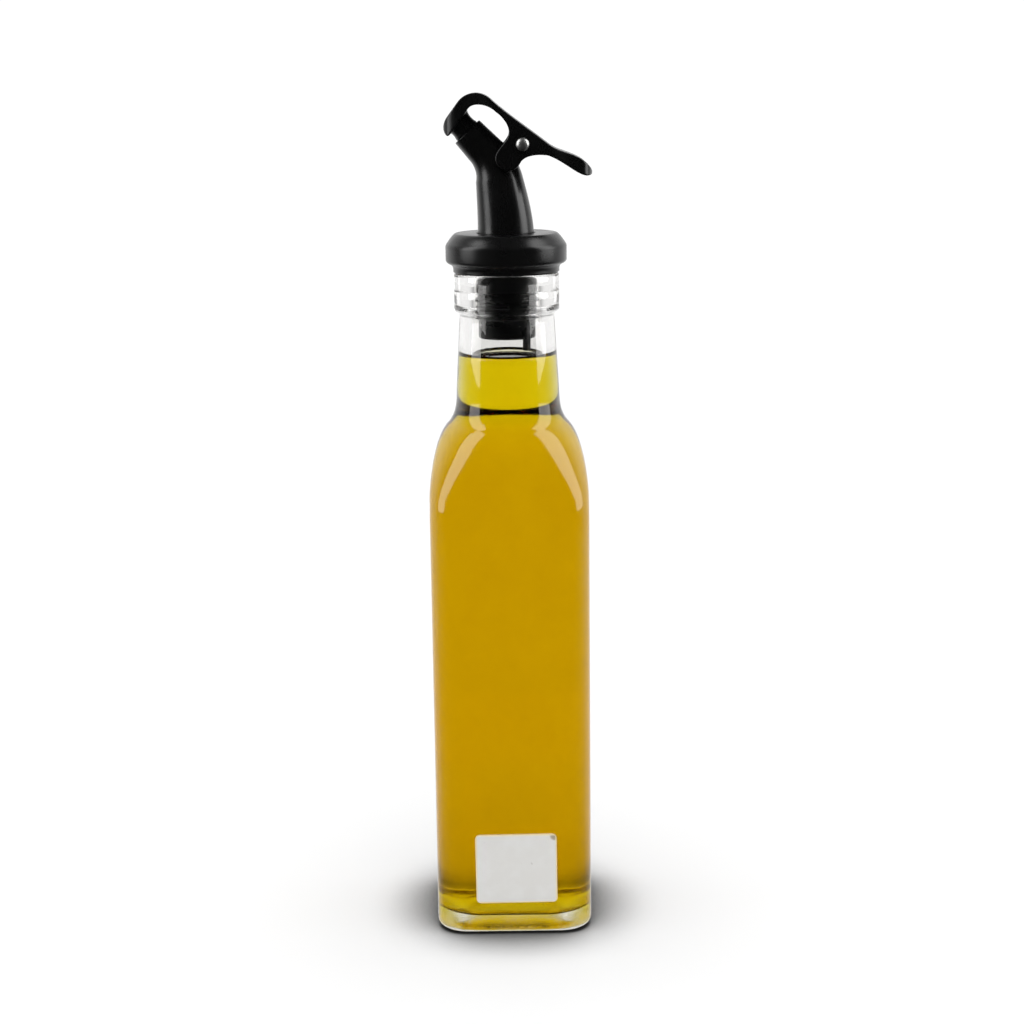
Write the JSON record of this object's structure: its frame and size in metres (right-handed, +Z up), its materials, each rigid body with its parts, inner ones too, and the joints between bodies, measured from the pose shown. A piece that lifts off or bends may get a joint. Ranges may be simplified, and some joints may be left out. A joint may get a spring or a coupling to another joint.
{
  "type": "oil bottle",
  "caption": "Square clear glass bottle of golden cooking oil with a round neck, a black stopper, and a bent spout closed by a pivoting thumb-lever lid; blank sticker.",
  "frame": {"origin": "middle of the square base, on the surface the bottle stands on", "axes": "+Z up the neck, -Y out of the front face with the label, the spout leans and pours towards -X and the thumb paddle points to +X"},
  "size_m": [0.0495, 0.0481, 0.2533],
  "materials": {
    "clear_glass": "polished clear flint glass",
    "golden_oil": "clear golden green oil",
    "label_paper": "white paper sticker, slightly soiled",
    "stopper_rubber": "satin black rubber",
    "spout_plastic": "satin black moulded plastic",
    "pin_steel": "plain domed steel",
    "lever_plastic": "satin black moulded plastic"
  },
  "bodies": {
    "bottle": {"glass_bottle": "clear_glass", "oil": "golden_oil", "front_label": "label_paper", "stopper": "stopper_rubber", "pour_spout": "spout_plastic", "pivot_pin": "pin_steel"},
    "lever": {"lever_lid": "lever_plastic"}
  },
  "joints": [
    {"name": "lever_hinge", "type": "hinge", "parent": "bottle", "child": "lever", "pos_m": [0.0052, 0, 0.2385], "axis": [0, 1, 0], "range_deg": [0, 45]}
  ]
}
